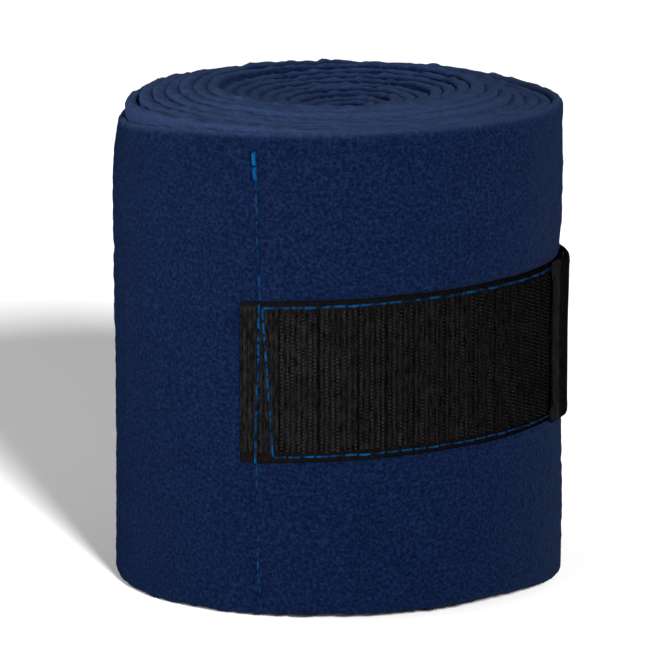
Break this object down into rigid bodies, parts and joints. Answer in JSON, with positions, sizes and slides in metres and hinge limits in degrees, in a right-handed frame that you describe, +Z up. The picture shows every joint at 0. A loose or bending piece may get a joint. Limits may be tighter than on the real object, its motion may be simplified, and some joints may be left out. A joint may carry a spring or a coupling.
{
  "type": "rolled fleece leg bandage",
  "caption": "Long fleece bandage strip wound into an upright roll, with a hook patch on the outer turn and a loop strap from behind that closes over it.",
  "frame": {"origin": "middle of the bounding box, on the surface that the roll stands on", "axes": "+Z up along the roll's axis; -Y towards the front, where the hook patch is; +X towards the right side, where the strap comes round"},
  "size_m": [0.1144, 0.1148, 0.12],
  "materials": {
    "fleece": "brushed fleece with a short, slightly pilled nap",
    "hook_tape": "woven tape with rows of small nylon hooks",
    "strap_tape": "smooth woven back, loop pile inside, heat-sealed end",
    "thread": "slightly glossy spun sewing thread"
  },
  "bodies": {
    "roll": {"fleece_wound_turns": "fleece", "hook_patch": "hook_tape", "patch_top_thread": "thread", "patch_bottom_thread": "thread", "patch_left_thread": "thread", "patch_right_thread": "thread", "patch_bobbin_thread": "thread", "cross_seam_needle_thread": "thread", "cross_seam_bobbin_thread": "thread", "cross_seam_back_tack": "thread"},
    "tail_1": {"fleece_tail_1": "fleece"},
    "tail_2": {"fleece_tail_2": "fleece"},
    "tail_3": {"fleece_tail_3": "fleece"},
    "tail_4": {"fleece_tail_4": "fleece"},
    "tail_end": {"fleece_tail_end": "fleece", "strap_root": "strap_tape", "strap_seam_needle_thread": "thread", "strap_seam_bobbin_thread": "thread"},
    "strap_1": {"strap_1": "strap_tape"},
    "strap_2": {"strap_2": "strap_tape"},
    "strap_3": {"strap_3": "strap_tape"},
    "strap_4": {"strap_4": "strap_tape"},
    "strap_5": {"strap_5": "strap_tape"},
    "strap_6": {"strap_6": "strap_tape"}
  },
  "joints": [
    {"name": "tail_bend_1", "type": "hinge", "parent": "roll", "child": "tail_1", "pos_m": [-0.05371, 0.01922, 0.06], "axis": [0, 0, 1], "range_deg": [0, 20]},
    {"name": "tail_bend_2", "type": "hinge", "parent": "tail_1", "child": "tail_2", "pos_m": [-0.04743, 0.03162, 0.06], "axis": [0, 0, 1], "range_deg": [0, 20]},
    {"name": "tail_bend_3", "type": "hinge", "parent": "tail_2", "child": "tail_3", "pos_m": [-0.03837, 0.04218, 0.06], "axis": [0, 0, 1], "range_deg": [0, 20]},
    {"name": "tail_bend_4", "type": "hinge", "parent": "tail_3", "child": "tail_4", "pos_m": [-0.02707, 0.05028, 0.06], "axis": [0, 0, 1], "range_deg": [0, 20]},
    {"name": "tail_bend_5", "type": "hinge", "parent": "tail_4", "child": "tail_end", "pos_m": [-0.01417, 0.05546, 0.06], "axis": [0, 0, 1], "range_deg": [0, 20]},
    {"name": "strap_bend_1", "type": "hinge", "parent": "tail_end", "child": "strap_1", "pos_m": [0.01544, 0.05376, 0.0601], "axis": [0, 0, 1], "range_deg": [0, 24]},
    {"name": "strap_bend_2", "type": "hinge", "parent": "strap_1", "child": "strap_2", "pos_m": [0.03009, 0.0475, 0.0601], "axis": [0, 0, 1], "range_deg": [0, 24]},
    {"name": "strap_bend_3", "type": "hinge", "parent": "strap_2", "child": "strap_3", "pos_m": [0.04239, 0.03741, 0.0601], "axis": [0, 0, 1], "range_deg": [0, 24]},
    {"name": "strap_bend_4", "type": "hinge", "parent": "strap_3", "child": "strap_4", "pos_m": [0.05138, 0.02427, 0.0601], "axis": [0, 0, 1], "range_deg": [0, 24]},
    {"name": "strap_bend_5", "type": "hinge", "parent": "strap_4", "child": "strap_5", "pos_m": [0.05633, 0.00914, 0.0601], "axis": [0, 0, 1], "range_deg": [0, 24]},
    {"name": "strap_bend_6", "type": "hinge", "parent": "strap_5", "child": "strap_6", "pos_m": [0.05686, -0.00735, 0.0601], "axis": [0, 0, 1], "range_deg": [0, 24]}
  ],
  "couplings": [
    {"joint": "tail_bend_2", "follows": "tail_bend_1", "ratio": 1},
    {"joint": "tail_bend_3", "follows": "tail_bend_1", "ratio": 1},
    {"joint": "tail_bend_4", "follows": "tail_bend_1", "ratio": 1},
    {"joint": "tail_bend_5", "follows": "tail_bend_1", "ratio": 1},
    {"joint": "strap_bend_2", "follows": "strap_bend_1", "ratio": 1},
    {"joint": "strap_bend_3", "follows": "strap_bend_1", "ratio": 1},
    {"joint": "strap_bend_4", "follows": "strap_bend_1", "ratio": 1},
    {"joint": "strap_bend_5", "follows": "strap_bend_1", "ratio": 1},
    {"joint": "strap_bend_6", "follows": "strap_bend_1", "ratio": 1}
  ]
}
